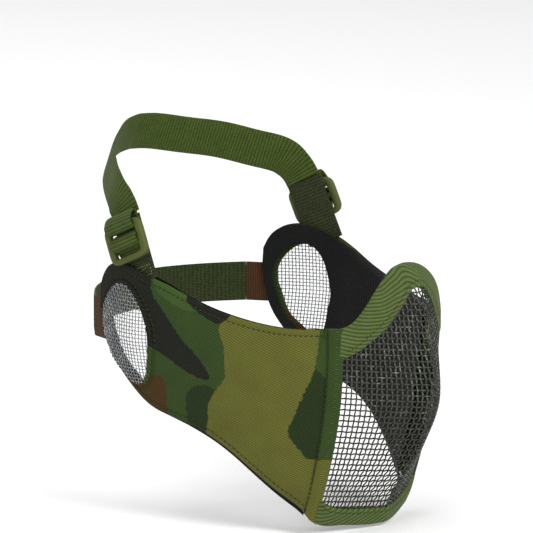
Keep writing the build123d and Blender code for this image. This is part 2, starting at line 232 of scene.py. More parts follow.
# %% Mesh builders
def build(name, points, faces, uv=None, fields=None, sharp=48):
    """Puts points (mm) and faces into one mesh object, with normals outward by signed volume
    sum p0 . (p1 x p2) / 6, unused points dropped, and fields stored on its points."""
    points = np.asarray(points, float).reshape(-1, 3) * MM
    faces = [np.asarray(f, int) for f in faces if len(f)]
    volume = sum(float(np.sum(points[f[:, 0]] * np.cross(points[f[:, k]], points[f[:, k + 1]])))
                 for f in faces for k in range(1, f.shape[1] - 1))
    if volume < 0:
        faces = [f[:, ::-1] for f in faces]
    used, corner = np.unique(np.concatenate([f.ravel() for f in faces]), return_inverse=True)
    mesh = bpy.data.meshes.new(name)
    mesh.vertices.add(len(used))
    mesh.vertices.foreach_set("co", points[used].ravel())
    total = np.concatenate([np.full(len(f), f.shape[1]) for f in faces])
    mesh.loops.add(len(corner))
    mesh.loops.foreach_set("vertex_index", corner.astype(np.int32))
    mesh.polygons.add(len(total))
    starts = np.concatenate([[0], np.cumsum(total)[:-1]])
    mesh.polygons.foreach_set("loop_start", starts.astype(np.int32))
    mesh.polygons.foreach_set("use_smooth", np.ones(len(total), bool))
    mesh.update(calc_edges=True)
    if uv is not None:
        flat = np.asarray(uv, float).reshape(-1, 2)[used][corner] * MM
        mesh.uv_layers.new(name="UVMap").data.foreach_set("uv", flat.ravel())
    for key, values in (fields or {}).items():
        layer = mesh.attributes.new(key, "FLOAT", "POINT")
        layer.data.foreach_set("value", np.asarray(values, float).ravel()[used])
    mesh.set_sharp_from_angle(angle=math.radians(sharp))
    piece = bpy.data.objects.new(name, mesh)
    bpy.context.scene.collection.objects.link(piece)
    print(name, len(used), "points", len(total), "faces")
    return piece


def shell_faces(shape, keep=None):
    """Quads of an outer grid, the same quads reversed on the inner grid, and walls where an
    outer edge a-b has no neighbour b-a."""
    n, m = shape
    count = n * m
    index = np.arange(count).reshape(n, m)
    quad = np.stack([index[:-1, :-1], index[1:, :-1], index[1:, 1:], index[:-1, 1:]], -1)
    quad = quad.reshape(-1, 4) if keep is None else quad[keep]
    edge = np.concatenate([quad[:, [k, (k + 1) % 4]] for k in range(4)])
    rim = edge[~np.isin(edge[:, 0] * count + edge[:, 1], edge[:, 1] * count + edge[:, 0])]
    wall = np.stack([rim[:, 1], rim[:, 0], rim[:, 0] + count, rim[:, 1] + count], -1)
    return [quad, quad[:, ::-1] + count, wall]


def shell(name, outer, inner, uv=None, fields=None, keep=None, sharp=48):
    """Closed shell between two grids of points."""
    faces = shell_faces(outer.shape[:2], keep)
    double = None if uv is None else np.concatenate([uv.reshape(-1, 2)] * 2)
    both = {k: np.concatenate([v.ravel()] * 2) for k, v in (fields or {}).items()}
    points = np.concatenate([outer.reshape(-1, 3), inner.reshape(-1, 3)])
    return build(name, points, faces, double, both, sharp)


def tubes(name, paths, ups, wide, high, sides=6, keep=None, closed=False, power=2.0, sharp=60,
          fields=None):
    """Tubes along paths (k, n, 3): ring(q) = P + wide sgn(cos q)|cos q|^(2/power) side
    + high sgn(sin q)|sin q|^(2/power) up, with caps where a kept run begins or ends."""
    if closed:
        along = np.roll(paths, -1, 1) - np.roll(paths, 1, 1)
    else:
        along = np.gradient(paths, axis=1)
    k, n = paths.shape[:2]
    across = unit(np.cross(unit(along), ups))
    up = unit(np.cross(across, unit(along)))
    q = 2 * np.pi * (np.arange(sides) + 0.5) / sides
    c, s = (np.sign(f) * np.abs(f) ** (2 / power) for f in (np.cos(q), np.sin(q)))
    wide = np.broadcast_to(np.asarray(wide, float), (k, n))[..., None, None]
    high = np.broadcast_to(np.asarray(high, float), (k, n))[..., None, None]
    ring = (paths[:, :, None] + wide * c[None, None, :, None] * across[:, :, None]
            + high * s[None, None, :, None] * up[:, :, None])
    index = np.arange(k * n * sides).reshape(k, n, sides)
    ahead = np.roll(index, -1, 1) if closed else index[:, 1:]
    here = index if closed else index[:, :-1]
    quad = np.stack([here, ahead, np.roll(ahead, -1, 2), np.roll(here, -1, 2)], -1)
    kept = np.ones(here.shape[:2], bool) if keep is None else keep[:, 1:] & keep[:, :-1]
    faces = [quad[kept].reshape(-1, 4)]
    if not closed:
        gap = np.zeros((k, 1), bool)
        starts = kept & ~np.concatenate([gap, kept[:, :-1]], 1)
        ends = kept & ~np.concatenate([kept[:, 1:], gap], 1)
        faces += [here[starts], ahead[ends][:, ::-1]]
    steps = np.linalg.norm(np.diff(paths, axis=1), axis=-1)
    run = np.concatenate([np.zeros((k, 1)), np.cumsum(steps, 1)], 1)
    uv = np.stack(np.broadcast_arrays(run[..., None], q * 0.6), -1)
    spread = {key: np.repeat(v.ravel(), sides) for key, v in (fields or {}).items()}
    return build(name, ring, faces, uv, spread, sharp)


print("builders ready")

# %% [markdown]
# ## Tools for finishes
# Each finish is a node material with its weave or grain at its real pitch, or, where that is
# too fine to see, as coarse as it has to be to show.
# Colours are written as sRGB hex values, and turned to linear light once.
# One function adds any node, so a finish reads as a list of what it is made from.

# %% Colour and node helpers
def hexed(code):
    """sRGB to linear: c/12.92 below .04045, else ((c + .055)/1.055)^2.4. Alpha is one."""
    c = np.array([int(code[i:i + 2], 16) for i in (0, 2, 4)]) / 255
    return (*np.where(c < 0.04045, c / 12.92, ((c + 0.055) / 1.055) ** 2.4).tolist(), 1.0)


def add(tree, kind, inputs=None, out=0, **settings):
    """Adds one node with its settings. A socket given an output is linked, and any other is
    set. Returns one output, or the node itself where it has none."""
    node = tree.nodes.new(kind)
    for key, value in settings.items():
        setattr(node, key, value)
    for key, value in (inputs or {}).items():
        if isinstance(value, bpy.types.NodeSocket):
            tree.links.new(value, node.inputs[key])
        else:
            node.inputs[key].default_value = value
    return node.outputs[out] if len(node.outputs) else node


def mix(tree, share, a, b):
    """a (1 - share) + b share"""
    return add(tree, "ShaderNodeMix", {0: share, 6: a, 7: b}, out=2, data_type="RGBA")


def ramp(tree, value, low, high, to_low=0.0, to_high=1.0):
    """Smooth step of value from low to high."""
    inputs = {"Value": value, "From Min": low, "From Max": high, "To Min": to_low,
              "To Max": to_high}
    return add(tree, "ShaderNodeMapRange", inputs, interpolation_type="SMOOTHSTEP")


WAVE_PERIOD = 2 * math.pi / 20  # of the Wave node at scale 1


def bands(tree, place, pitch, turn=0.0, wobble=0.0):
    """Ribs of one pitch in metres, turned by so many degrees."""
    angle = (0, 0, math.radians(turn))
    turned = add(tree, "ShaderNodeMapping", {"Vector": place, "Rotation": angle})
    wave = {"Vector": turned, "Scale": WAVE_PERIOD / pitch, "Distortion": wobble, "Detail": 1.0,
            "Detail Scale": 0.6}
    return add(tree, "ShaderNodeTexWave", wave, out=1, wave_type="BANDS", bands_direction="X")


def noise(tree, place, size, detail=3.0):
    """Noise whose blots are about size metres across."""
    inputs = {"Vector": place, "Scale": 1 / size, "Detail": detail}
    return add(tree, "ShaderNodeTexNoise", inputs)


def finish(name, colour, rough, height, depth, strength=0.6, **fixed):
    """A Principled surface from a colour, a roughness and a height, whose depth is in metres.
    Numbers that are the same all over go on the shader's own sockets."""
    material, tree = started[name]
    bump = add(tree, "ShaderNodeBump", {"Height": height, "Distance": depth, "Strength": strength})
    surface = {"Base Color": colour, "Roughness": rough, "Normal": bump}
    surface.update({key.replace("_", " "): value for key, value in fixed.items()})
    shader = add(tree, "ShaderNodeBsdfPrincipled", surface)
    add(tree, "ShaderNodeOutputMaterial", {"Surface": shader})
    print("finish", name, len(tree.nodes), "nodes")
    return material


started = {}  # each finish's material and tree, by name


def start(name):
    """An empty node material and its tree."""
    material = bpy.data.materials.new(name)
    material.use_nodes = True
    material.node_tree.nodes.clear()
    started[name] = (material, material.node_tree)
    return material.node_tree


def times(tree, a, b, kind="MULTIPLY"):
    """a times b, or another sum of two."""
    return add(tree, "ShaderNodeMath", {0: a, 1: b}, operation=kind)


print("paint helpers ready", hexed("827c38")[:3])

# %% [markdown]
# ## The printed twill
# The outer cloth is a cotton twill, dyed green, with a woodland print of five inks over it.
# On the right panel the light moss ink also paints a highlight along the padded top edge.
# The print's patches are drawn as outlines on the panel; each point keeps its distance to them,
# and the material cuts the patches at zero distance, with a little bleed along the threads.
# Printed cotton is dull: the eye sees diagonal ribs, soft-edged colours and no gloss.
# Real twill has a rib every half millimetre. That is too fine to show here, so the rib is drawn
# at 1.12 mm, about twice as coarse.

# %% Camouflage twill
# each ink from its deep to its faded tone
INKS = (("moss_and_highlight", "32481c", "40582a"), ("dark", "182611", "223116"), ("tan", "535120", "63662a"),
        ("rust", "38260e", "483215"), ("black", "11120f", "1a1b19"))


def twill(name, pitch):
    """Ground colour, then each ink where its field is above zero, then ribs in light and shade."""
    tree = start(name)
    place = add(tree, "ShaderNodeUVMap")
    rib = bands(tree, place, pitch, turn=62, wobble=0.35)
    thread = bands(tree, place, pitch * 0.55, turn=-20, wobble=0.5)
    blot = noise(tree, place, 0.0022)
    cloud = noise(tree, place, 0.016, 2.0)
    bleed = times(tree, times(tree, blot, 0.5, "SUBTRACT"), 2.4)
    colour = mix(tree, cloud, hexed("273718"), hexed("344a1f"))
    for key, low, high in INKS:
        field = add(tree, "ShaderNodeAttribute", attribute_name=key, out="Fac")
        edge = ramp(tree, times(tree, field, bleed, "ADD"), -0.35, 0.35)
        colour = mix(tree, edge, colour, mix(tree, cloud, hexed(low), hexed(high)))
    # the ribs' tops catch more light, and their valleys hold shade
    colour = mix(tree, ramp(tree, rib, 0.05, 0.7, 0.36, 0.0), colour, hexed("141a0c"))
    lit = times(tree, ramp(tree, times(tree, rib, thread), 0.45, 0.95), 0.06)
    colour = mix(tree, lit, colour, hexed("b9bd79"))
    height = times(tree, times(tree, rib, 0.75), times(tree, thread, 0.35), "ADD")
    rough = ramp(tree, cloud, 0.3, 0.7, 0.82, 0.94)
    return finish(name, colour, rough, height, 0.00035, 0.75,
                  Sheen_Weight=0.03, Sheen_Roughness=0.5, IOR=1.46, Specular_IOR_Level=0.12)


camo_twill = twill("camo_twill", 0.00112)

# %% [markdown]
# ## Binding tape, webbing and lining
# The guard's edges are bound in a ribbed olive tape, and the straps are woven webbing.
# The lining is a black knit, softer and duller than the printed cloth. All of them are nylon
# or polyester yarn: ribs whose tops are painted lighter, partly as wear and partly as highlight,
# with painted shade in their valleys, and a faint sheen along the threads.
# Real webbing has a rib about every millimetre. It is drawn at 1.6 mm here, so that it shows.

# %% Woven finishes
def woven(name, low, high, rib_pitch, cross_pitch, depth, lit="a9b06a", turn=0):
    """Ribs across the length with finer threads along it and a soft patchy dye. The rib valleys are
    painted dark as shade, and flecked thread tops are painted lighter, partly as wear and partly as
    highlight. The ribs of a turned weave waver more."""
    tree = start(name)
    place = add(tree, "ShaderNodeUVMap")
    rib = bands(tree, place, rib_pitch, turn=turn, wobble=0.2 if turn == 0 else 0.9)
    thread = bands(tree, place, cross_pitch, turn=90 + turn, wobble=0.3)
    cloud = noise(tree, place, 0.008, 3.0)
    fleck = noise(tree, place, 0.0012, 2.0)
    colour = mix(tree, cloud, hexed(low), hexed(high))
    # painted shade: the rib valleys are darkened
    colour = mix(tree, ramp(tree, rib, 0.05, 0.65, 0.62, 0.0), colour, hexed("12150a"))
    # painted highlight on flecked thread tops, which also stands for wear
    worn_and_lit = times(tree, ramp(tree, times(tree, thread, fleck), 0.35, 0.6), 0.12)
    colour = mix(tree, worn_and_lit, colour, hexed(lit))
    height = times(tree, times(tree, rib, 0.7), times(tree, thread, 0.4), "ADD")
    return finish(name, colour, ramp(tree, fleck, 0.3, 0.7, 0.62, 0.85), height, depth, 0.8,
                  Sheen_Weight=0.03, Sheen_Roughness=0.4, IOR=1.5, Specular_IOR_Level=0.15)


# name, deep and faded tones, rib pitch, thread pitch and depth in metres, then the tone of the
# thread tops, painted lighter as wear and highlight, and the ribs' turn in degrees, where they
# differ from plain webbing's
binding_tape = woven("binding_tape", "47572a", "5a6b35", 0.00165, 0.0008, 0.0006, "8b9a5c", -60)
strap_webbing = woven("strap_webbing", "33430f", "465a1c", 0.0016, 0.0009, 0.0004)
# the anchor's webbing is a darker copy of the strap webbing: painted shade, where it lies behind
# the slide
shaded_anchor_webbing = woven("anchor_webbing", "1f2614", "2d361b", 0.0016, 0.0009, 0.0004)
tab_cloth = woven("tab_cloth", "3d2410", "4f3118", 0.0012, 0.0008, 0.0003, "8b6a40")
black_knit = woven("black_knit", "0a0b0b", "121314", 0.0014, 0.0014, 0.0003, "2a2c2e")
band_elastic = woven("band_elastic", "222b10", "2e3a17", 0.0022, 0.0008, 0.0006)
box_thread = woven("box_thread", "5d6b45", "79875c", 0.0006, 0.0006, 0.0001)
thread_finish = woven("sewing_thread", "34371b", "424524", 0.0006, 0.0006, 0.0001, "6a6e48")

# %% [markdown]
# ## Wire and plastic
# The mouth guard's wire is painted a dull olive grey, with random lighter patches that are
# partly rubbed paint and partly painted highlights. The ear guards are left as bare steel, with
# small sharp glints, partly painted in as paler patches. The slide is moulded nylon, dyed olive:
# it has a broad soft gloss, a grain under a millimetre and cloudy flow marks.

# %% Painted wire, bare wire and plastic
def painted_wire(name, low, high, worn_and_lit, metal, gloss):
    """Two tones with random paler patches, partly rubbed wear and partly painted highlight; the
    metal share and the roughness belong to the wire.
    """
    tree = start(name)
    place = add(tree, "ShaderNodeTexCoord", out=3)
    patch, speck = noise(tree, place, 0.006, 4.0), noise(tree, place, 0.0009, 2.0)
    # painted highlight and wear: random patches get the paler tone
    rubbed_and_lit = ramp(tree, times(tree, patch, speck, "ADD"), 1.08, 1.3)
    colour = mix(tree, rubbed_and_lit, mix(tree, patch, hexed(low), hexed(high)), hexed(worn_and_lit))
    rough = ramp(tree, speck, 0.3, 0.7, gloss, gloss + 0.2)
    return finish(name, colour, rough, speck, 0.00008, 0.4, Metallic=metal)


# on the bare steel the paler patches are painted glints as much as wear
guard_paint = painted_wire("guard_paint", "1b1d15", "2e3024", "6f7266", 0.25, 0.3)
bare_steel = painted_wire("bare_steel", "85878a", "a6a8aa", "c9cacb", 0.9, 0.3)


def plastic(name):
    """Moulded plastic: a fine grain and faint flow marks in two tones."""
    tree = start(name)
    place = add(tree, "ShaderNodeTexCoord", out=3)
    grain, flow = noise(tree, place, 0.0007, 2.0), noise(tree, place, 0.012, 2.0)
    colour = mix(tree, flow, hexed("3d4419"), hexed("4f5625"))
    return finish(name, colour, ramp(tree, grain, 0.3, 0.7, 0.5, 0.66), grain, 0.00008, 0.5,
                  IOR=1.49, Specular_IOR_Level=0.25)


slide_plastic = plastic("slide_plastic")
print("finishes made", len(started))

# %% [markdown]
# ## Outlines on the side surface
# The panel is cut like a kite: a straight front edge at the seam, a rising top edge and a jaw line.
# Straight rulings between the jaw line and the top edge give the cloth a grid with clean edges.

# %% Panel grid
TOP_EDGE = [(-92.2, 8.6), (-84, 8.8), (-70, 9.4), (-52, 13), (-34, 18.6), (-22, 24), (-10, 29),
            (2, 32.6), (13, 35), (23, 33.8), (30, 29), (33.8, 22)]
JAW_EDGE = [(-75.2, -88), (-70, -81), (-60, -71), (-42, -54), (-22, -42.5), (-5, -36.5), (8, -29),
            (16, -22.8), (23, -16), (29, -8), (32.5, 1), (34.4, 12)]
knots = np.arange(12) / 11
top_y, top_z = (spline(knots, [p[i] for p in TOP_EDGE]) for i in (0, 1))
jaw_y, jaw_z = (spline(knots, [p[i] for p in JAW_EDGE]) for i in (0, 1))


SEAM_GAP = 0.78  # the cloth begins this far behind the seam


def panel(a, b):
    """Ruling between the edges: (1 - b) jaw(a) + b top(a), with the front ones bent to the seam."""
    y = (1 - b) * jaw_y(a) + b * top_y(a)
    z = (1 - b) * jaw_z(a) + b * top_z(a)
    straight = -75.2 - 17 * b  # the front edge of the unbent rulings
    bend = np.clip(1 - a / 0.25, 0, 1) ** 2
    return y + (seam_at(z)[1] + SEAM_GAP - straight) * bend, z


arc_y = np.linspace(-100, 60, 321)
arc_s = np.concatenate([[0], np.cumsum(np.hypot(np.diff(plan_x(arc_y)), np.diff(arc_y)))])


def cloth_uv(y, z):
    """Millimetres along the cloth: the arc of the plan, and height."""
    return np.stack([np.interp(y, arc_y, arc_s), z + 0 * y], -1)


# the leaf outline of the ear guard: its radius about (EAR_Y, 0) is a spline of the angle
EAR_Y = 12
EAR = [(13, 25), (4.6, 21), (-2, 10), (-4.3, -1), (-2.6, -13), (4, -23.5), (12, -20), (20, -13.5),
       (26, -2), (28.5, 9.7), (22.5, 20.5)]
ear_turn = np.array([math.atan2(z, y - EAR_Y) for y, z in EAR])
ear_far = np.array([math.hypot(y - EAR_Y, z) for y, z in EAR])
order = np.argsort(ear_turn)
ear_turn, ear_far = ear_turn[order], ear_far[order]
three_turns = np.concatenate([ear_turn - 2 * np.pi, ear_turn, ear_turn + 2 * np.pi])
ear_radius = spline(three_turns, np.tile(ear_far, 3))
print("ear guard reaches", ear_far.round(1))

# %% [markdown]
# ## Where the print's patches lie
# Each outline is a patch of one colour, as (y, z) corners on the panel.
# A point's field is its distance to the outline, positive inside, in millimetres.

# %% Patch outlines
PATCHES = {
    "right": {
        "tan": [[(-46.9, 18), (-46.9, 14.7), (-40.8, 9.3), (-42.8, 0), (-44.1, -10), (-43.6, -17),
                 (-38.6, -21.5), (-34.6, -27), (-32.6, -32.6), (-32.5, -39.7), (-30.3, -47.5),
                 (-29, -62), (-70, -104), (-100, -104), (-96, -58), (-85, -55.6), (-78.2, -57.2),
                 (-76.3, -54.7), (-74.9, -51), (-70.9, -45.7), (-69.5, -41.7), (-74, -33.4),
                 (-75, -30), (-78.5, -23.7), (-81.9, -16.5), (-83, -10), (-84.9, 0.6),
                 (-86.6, 8.6), (-87, 20)]],
        "dark": [[(-110, -30), (-91, -26), (-87, -12), (-80, -10), (-76, -20), (-70, -31),
                  (-64, -41.7), (-66, -48), (-70, -60), (-78.2, -62), (-86, -60), (-96, -62),
                  (-110, -62)],
                 [(-38, -22), (-32, -20), (-24, -24), (-20, -34), (-22, -52), (-36, -56),
                  (-40, -38)]],
        "black": [[(-24, 24), (-31.3, 18.7), (-46.9, 15.5), (-46.9, 14.4), (-40.8, 9.3),
                   (-33.8, 12.9), (-27.7, 16.4), (-24, 19)],
                  [(-4.7, 26.6), (-12.5, 13.3), (-21.9, 3.1), (-28.3, -4.5), (-33.8, -11.7),
                   (-36.9, -18), (-29.8, -17.6), (-18.6, -12.9), (-11.2, -7.8), (-4.4, -3.5),
                   (0, -1), (12, 6), (24, 9), (40, 9), (46, 20), (40, 44), (4, 48), (-8, 36)]],
        "rust": [[(-4, -17.6), (-9.6, -18), (-11.4, -23), (-11.8, -30.6), (-9.8, -42), (0, -42),
                  (10, -34), (30, -14), (44, 8), (26, 8), (24, -6), (12, -20), (2, -24)]],
        # this moss outline along the padded top edge is a painted highlight, not print
        "moss_and_highlight": [[(-34, 24), (-24, 30), (-8, 38), (-6, 28), (-14, 20), (-24, 15), (-34, 16)]],
    },
    "left": {
        "tan": [[(-70, 16), (-58, 14), (-52, 4), (-58, -8), (-50, -22), (-36, -30), (-40, -44),
                 (-54, -50), (-66, -38), (-76, -28), (-74, -8)],
                [(-12, 34), (2, 36), (0, 22), (-10, 18), (-20, 24)]],
        "dark": [[(-110, -14), (-84, -16), (-80, -30), (-72, -44), (-60, -58), (-56, -80),
                  (-110, -100)],
                 [(-34, 22), (-22, 20), (-18, 6), (-28, -6), (-40, 0), (-44, 12)]],
        "black": [[(-110, 14), (-86, 12), (-82, 4), (-88, -2), (-110, -4)],
                  [(-20, 8), (-10, 10), (-4, -8), (-10, -26), (-24, -34), (-30, -20)],
                  [(20, 40), (36, 34), (36, 16), (28, 20), (18, 28)]],
        "rust": [[(-50, 20), (-38, 20), (-40, 8), (-48, 2), (-54, 10)],
                 [(0, -24), (14, -20), (28, -6), (36, 10), (40, -14), (10, -40)]],
        "moss_and_highlight": [[(-110, -4), (-88, -3), (-80, -10), (-84, -18), (-110, -16)],
                 [(-34, -26), (-20, -36), (-26, -48), (-44, -46)]],
    },
}


def inside(y, z, outline):
    """Signed distance to a closed outline: the least distance to its edges, + inside by crossings.
    Its corners are first cut twice, each side a-b giving 3/4 a + 1/4 b and 1/4 a + 3/4 b."""
    p = np.stack([y.ravel(), z.ravel()], -1)
    a = np.array(outline, float)
    for _ in range(2):
        after = np.roll(a, -1, 0)
        a = np.stack([0.75 * a + 0.25 * after, 0.25 * a + 0.75 * after], 1).reshape(-1, 2)
    b = np.roll(a, -1, 0)
    ab = b - a
    t = np.clip(((p[:, None] - a) * ab).sum(-1) / (ab * ab).sum(-1), 0, 1)
    far = np.linalg.norm(p[:, None] - (a + t[..., None] * ab), axis=-1).min(1)
    level = (a[:, 1] > p[:, 1:2]) != (b[:, 1] > p[:, 1:2])
    edge_y = (b[:, 0] - a[:, 0]) * (p[:, 1:2] - a[:, 1]) / (b[:, 1] - a[:, 1] + 1e-9) + a[:, 0]
    cross = level & (p[:, :1] < edge_y)
    return np.where(cross.sum(1) % 2 == 1, far, -far).reshape(y.shape)


def print_fields(side, y, z):
    """One field per colour: the greatest of its outlines' distances, whose edges waver by half
    a millimetre in slow waves."""
    yy, zz = y + 0.5 * np.sin(z / 4.3 + y / 9), z + 0.5 * np.sin(y / 5.1 - z / 8)
    return {key: np.clip(np.max([inside(yy, zz, o) for o in outlines], 0), -30, 30)
            for key, outlines in PATCHES[side].items()}


print("patches", {s: sum(len(v) for v in p.values()) for s, p in PATCHES.items()})

# %% [markdown]
# ## The padded cheek panels
# Each panel is printed cloth over thin foam, sewn down round its edge, so its middle stands a
# little proud and its edges are tucked. A short cloth simulation could blow it up, but the
# worked-out crown below keeps the panel's thin edge and the ear hole exact.

# %% Cheek panels
def panel_cells(a_count, b_count, a_from=0.0, b_from=0.0):
    """Grid (a, b), its (y, z), the kept cells, and the distance to the ear hole. Points on the
    hole's rim are moved to its outline."""
    a, b = np.meshgrid(np.linspace(a_from, 1, a_count), np.linspace(b_from, 1, b_count),
                       indexing="ij")
    y, z = panel(a, b)
    turn, far = np.arctan2(z, y - EAR_Y), np.hypot(y - EAR_Y, z)
    hole = ear_radius(turn) + 0.6
    outside = far - hole
    keep = (outside[:-1, :-1] + outside[1:, :-1] + outside[1:, 1:] + outside[:-1, 1:]) > 0
    near = np.zeros(a.shape, int)
    for i, j in ((0, 0), (1, 0), (1, 1), (0, 1)):
        near[i:i + keep.shape[0], j:j + keep.shape[1]] += keep
    rim = (near > 0) & (near < 4) & (far < hole + 3)
    y = np.where(rim, EAR_Y + hole * np.cos(turn), y)
    z = np.where(rim, hole * np.sin(turn), z)
    return a, b, y, z, keep, outside


PANEL_LONG, BACK_LONG = 125, 60  # millimetres per unit of a at the front edge and the back edge


def edge_distance(a, b):
    """About how many millimetres a panel point lies from the nearest outer edge."""
    length = np.hypot(top_y(a) - jaw_y(a), top_z(a) - jaw_z(a))
    ends = np.minimum((1 - a) * BACK_LONG, a * PANEL_LONG + 0.5)
    return np.minimum(np.minimum(b, 1 - b) * length, ends)


a, b, y, z, keep, from_ear = panel_cells(230, 150)
rim_far = np.minimum(edge_distance(a, b), np.maximum(from_ear, 0) + 0.4)
CHEEK_END = (-26, -8)  # the padding fades out over these y, before the ear
CROWN, ROW_IN = 1.3, 3.0  # how proud the middle stands, and how far in the stitch row lies
cheek_share = 1 - step(y, *CHEEK_END)
crown = CROWN * step(rim_far, 0, 16) * cheek_share
tuck = -0.75 * np.exp(-rim_far / 0.9) - 0.32 * np.exp(-((rim_far - ROW_IN) / 0.55) ** 2)
folds = 0.22 * np.sin(y / 7 + z / 11) * np.sin(z / 9 - y / 15) * step(rim_far, 2, 12)
pad_out = crown + tuck + folds
filled = cheek_share * step(y - seam_at(z)[1], 1.5, 9) * step(edge_distance(a, b), 0, 4)
pad_in = -1.0 - 4.1 * filled
for side in SIDES:
    outer, inner = on_side(y, z, pad_out), on_side(y, z, pad_in)
    pad = shell(f"{side}_cheek_pad", handed(outer, side), handed(inner, side), cloth_uv(y, z),
                print_fields(side, y, z), keep)
    pad.data.materials.append(camo_twill)
    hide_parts(f"{side}_cheek_cover", f"{side}_cheek_foam")
print("pads stand proud by", round(float(pad_out.max()), 2), "mm")

# %% [markdown]
# ## Cloth baked in place
# The mask folds along the two seams. Here each cloth piece only has its placing baked into its
# points, and nothing in it follows the fold.


def fold_with(piece):
    """Bakes the piece's placing into its points."""
    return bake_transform(piece)


for side in SIDES:
    fold_with(bpy.data.objects[f"{side}_cheek_pad"])

# %% [markdown]
# ## Linings
# A black knit closes each panel's inside. It shows as a thin dark edge along the jaw.
# It is a single sheet, stretched over the pad's inner face, so it keeps one distance behind it
# and comes forward to meet the printed cloth at its edges.

# %% Linings
CHEEK_DEEP, EAR_DEEP, KNIT = 5.3, 4.2, 0.8  # its depth at the cheek and the ear, its thickness
a, b, y, z, keep, _ = panel_cells(120, 80, a_from=0.055, b_from=-0.03)
ear_part = step(y, *CHEEK_END)
line_out = -CHEEK_DEEP * (1 - ear_part) - EAR_DEEP * ear_part
edge_far = np.minimum(np.clip(b, 0, 1), 1 - b) * 90
line_out = line_out + 3.2 * (1 - ear_part) * np.exp(-edge_far / 1.8)
for side in SIDES:
    face, back = on_side(y, z, line_out), on_side(y, z, line_out - KNIT)
    lining = shell(f"{side}_lining", handed(face, side), handed(back, side), cloth_uv(y, z),
                   keep=keep)
    lining.data.materials.append(black_knit)
    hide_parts(f"{side}_cheek_lining")
    area = sum(f.area for f in lining.data.polygons) / 2
    print("lining's face", round(area * 1e4, 1), "square cm")
    fold_with(lining)
print("linings made")

# %% [markdown]
# ## Hems along the seam
# The wire's side edge is held in a folded hem of the same twill, with one row of stitches.
# Its cross section is worked out across the seam, from the wire on one side to the cloth on
# the other.

# %% Seam strips
def seam_strip(u, z, out):
    """Points u mm across the seam (negative on the guard), raised by out along the blended
    normal, and the side surface's y there."""
    seam_x, seam_y = seam_at(z)
    front_x = (seam_x + HEM_ROOM) * (1 + np.minimum(u + 1, 0) / 58)
    back_y = seam_y + SEAM_GAP + 0.81 * np.maximum(u - 0.8, 0)
    share = np.clip((u + 1) / 1.8, 0, 1)[..., None]
    base = (1 - share) * guard_base(front_x, z) + share * side_base(back_y, z)
    normal = unit((1 - share) * guard_out(front_x, z) + share * side_out(back_y, z))
    return base + out[..., None] * normal, back_y


HEM_FROM, HEM_TO, GROOVE = -2.4, 6, 4.9  # across the seam, with the sewn groove behind it
u, z = np.meshgrid(np.linspace(HEM_FROM, HEM_TO, 29), np.linspace(0, 1, 141), indexing="ij")
foot_z = -90.5 + 0.9 * (u - HEM_FROM)
z = foot_z + (9.4 - foot_z) * z
rise = (0.8 - 0.65 * step(u, 1, HEM_TO) + 0.85 * (1 - ((u - 1.8) / 4.25) ** 8)
        - 0.75 * np.exp(-((u - GROOVE) / 0.55) ** 2))
rise = rise + 0.12 * np.sin(z / 5.3) * step(u, -1, 2)
sunk = 0.74 - 1.7 * step(u, -0.5, 0.8)
for side in SIDES:
    outer, hem_y = seam_strip(u, z, rise)
    inner, _ = seam_strip(u, z, np.minimum(sunk, rise - 0.1))
    fields = print_fields(side, hem_y, z)
    # the hem was cut from another part of the print, and its groove is painted black, partly as
    # dark thread and partly as painted shade
    fields["dark"] = np.where(u < 4.6, -5, fields["dark"])
    fields["black"] = np.maximum(fields["black"], 0.6 - 2.2 * np.abs(u - GROOVE))
    hem = shell(f"{side}_hem", handed(outer, side), handed(inner, side),
                cloth_uv(hem_y + np.minimum(u, 0), z), fields)
    hem.data.materials.append(camo_twill)
    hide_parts(f"{side}_seam_hem")
    fold_with(hem)
    outer, _ = seam_strip(u, z, -0.78 + 0 * u)
    inner, _ = seam_strip(u, z, -1.5 + 0.25 * np.abs(u / 6) ** 4)
    facing = shell(f"{side}_seam_facing", handed(outer, side), handed(inner, side),
                   np.stack([z, u], -1))
    facing.data.materials.append(black_knit)
    fold_with(facing)
print("hems made")

# %% [markdown]
# ## Woven wire
# Both guards are plain weave: each wire goes over one and under the next.
# A texture with holes would be lighter, but real tubes catch the light at every crossing.
# Row j and column k stand apart by +-A cos(pi k)(-1)^j, so they pass each other at each crossing.

# %% Mouth guard wire
# heights (z) over |x| of the nose tape's crest and foot, and of the chin tape's top and foot
CREST = ([0, 12, 20, 26, 31, 36, 42], [37, 34.8, 30, 24, 17.2, 11.6, 9])
TAPE_FOOT = ([0, 4, 7.5, 11.5, 16, 21, 27, 33, 42], [26, 25.3, 23, 18.6, 13.6, 7.7, 2.7, -2, -6.5])
CHIN_TOP = ([0, 18, 30, 36, 40.5], [-86, -84.6, -82.5, -79.5, -75])
CHIN_FOOT = ([0, 12, 26, 36, 40.5], [-94, -93.8, -92.3, -90.8, -88])
crest, tape_foot, chin_top, chin_foot = (
    spline(*k) for k in (CREST, TAPE_FOOT, CHIN_TOP, CHIN_FOOT))
# pitch of the rows in millimetres, columns in each half, and the radius of a wire
PITCH, COLUMNS, WIRE = 2.8, 19.5, 0.39

share = np.linspace(0, 1, 101)
# a half is up to .8 as deep as it is wide, so this is the slope of its section
slope = 0.8 * (STRAIGHT + 2 * BOWED * share[1:])
arc = np.concatenate([[0], np.cumsum(np.sqrt(1 + slope ** 2))])


def guard_x(s, z):
    """Half width times p(s), where s is an even share of the arc from the ridge to the seam."""
    half = -seam_at(z)[0] - HEM_ROOM
    return half * np.sign(s) * np.interp(np.abs(s), arc / arc[-1], share)


def tilt(s):
    """How far a row has dropped at s, on its way from the seam down to the ridge."""
    return 4.6 * (1 - np.sqrt(s * s + 0.002))


UNDER_TAPE = 3.0  # the wire ends this far inside a tape's fold


